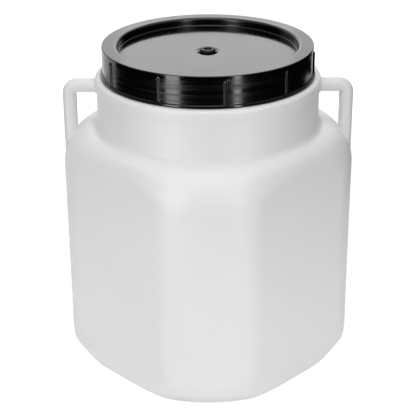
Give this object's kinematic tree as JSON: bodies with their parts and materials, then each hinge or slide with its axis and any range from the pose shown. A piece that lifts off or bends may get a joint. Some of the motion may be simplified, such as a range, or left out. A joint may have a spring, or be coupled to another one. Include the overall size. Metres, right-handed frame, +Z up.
{
  "type": "fermentation drum",
  "caption": "Wide-neck white plastic fermentation drum with flattened sides, loop handles and a black screw lid with an airlock port.",
  "frame": {"origin": "centre of the base, on the surface that the drum stands on", "axes": "+Z up along the drum's axis, handles on +X and -X, one rounded corner faces -Y"},
  "size_m": [0.34, 0.34, 0.391],
  "materials": {
    "white_plastic": "white blow-moulded polyethylene with a satin, slightly milky surface",
    "black_plastic": "glossy black injection-moulded plastic",
    "seal_rubber": "light grey flat seal ring",
    "black_rubber": "matt black rubber"
  },
  "bodies": {
    "drum": {"drum_shell": "white_plastic", "left_handle": "white_plastic", "right_handle": "white_plastic"},
    "seal": {"lid_gasket": "seal_rubber"},
    "lid": {"screw_lid": "black_plastic", "airlock_grommet": "black_rubber"}
  },
  "joints": [
    {"name": "lid_rise", "type": "slide", "parent": "drum", "child": "seal", "axis": [0, 0, 1], "range_m": [0, 0.018]},
    {"name": "lid_turn", "type": "hinge", "parent": "seal", "child": "lid", "pos_m": [0, 0, 0.3884], "axis": [0, 0, 1], "range_deg": [0, 540]}
  ],
  "couplings": [
    {"joint": "lid_rise", "follows": "lid_turn", "m_per_rad": 0.0019099}
  ]
}
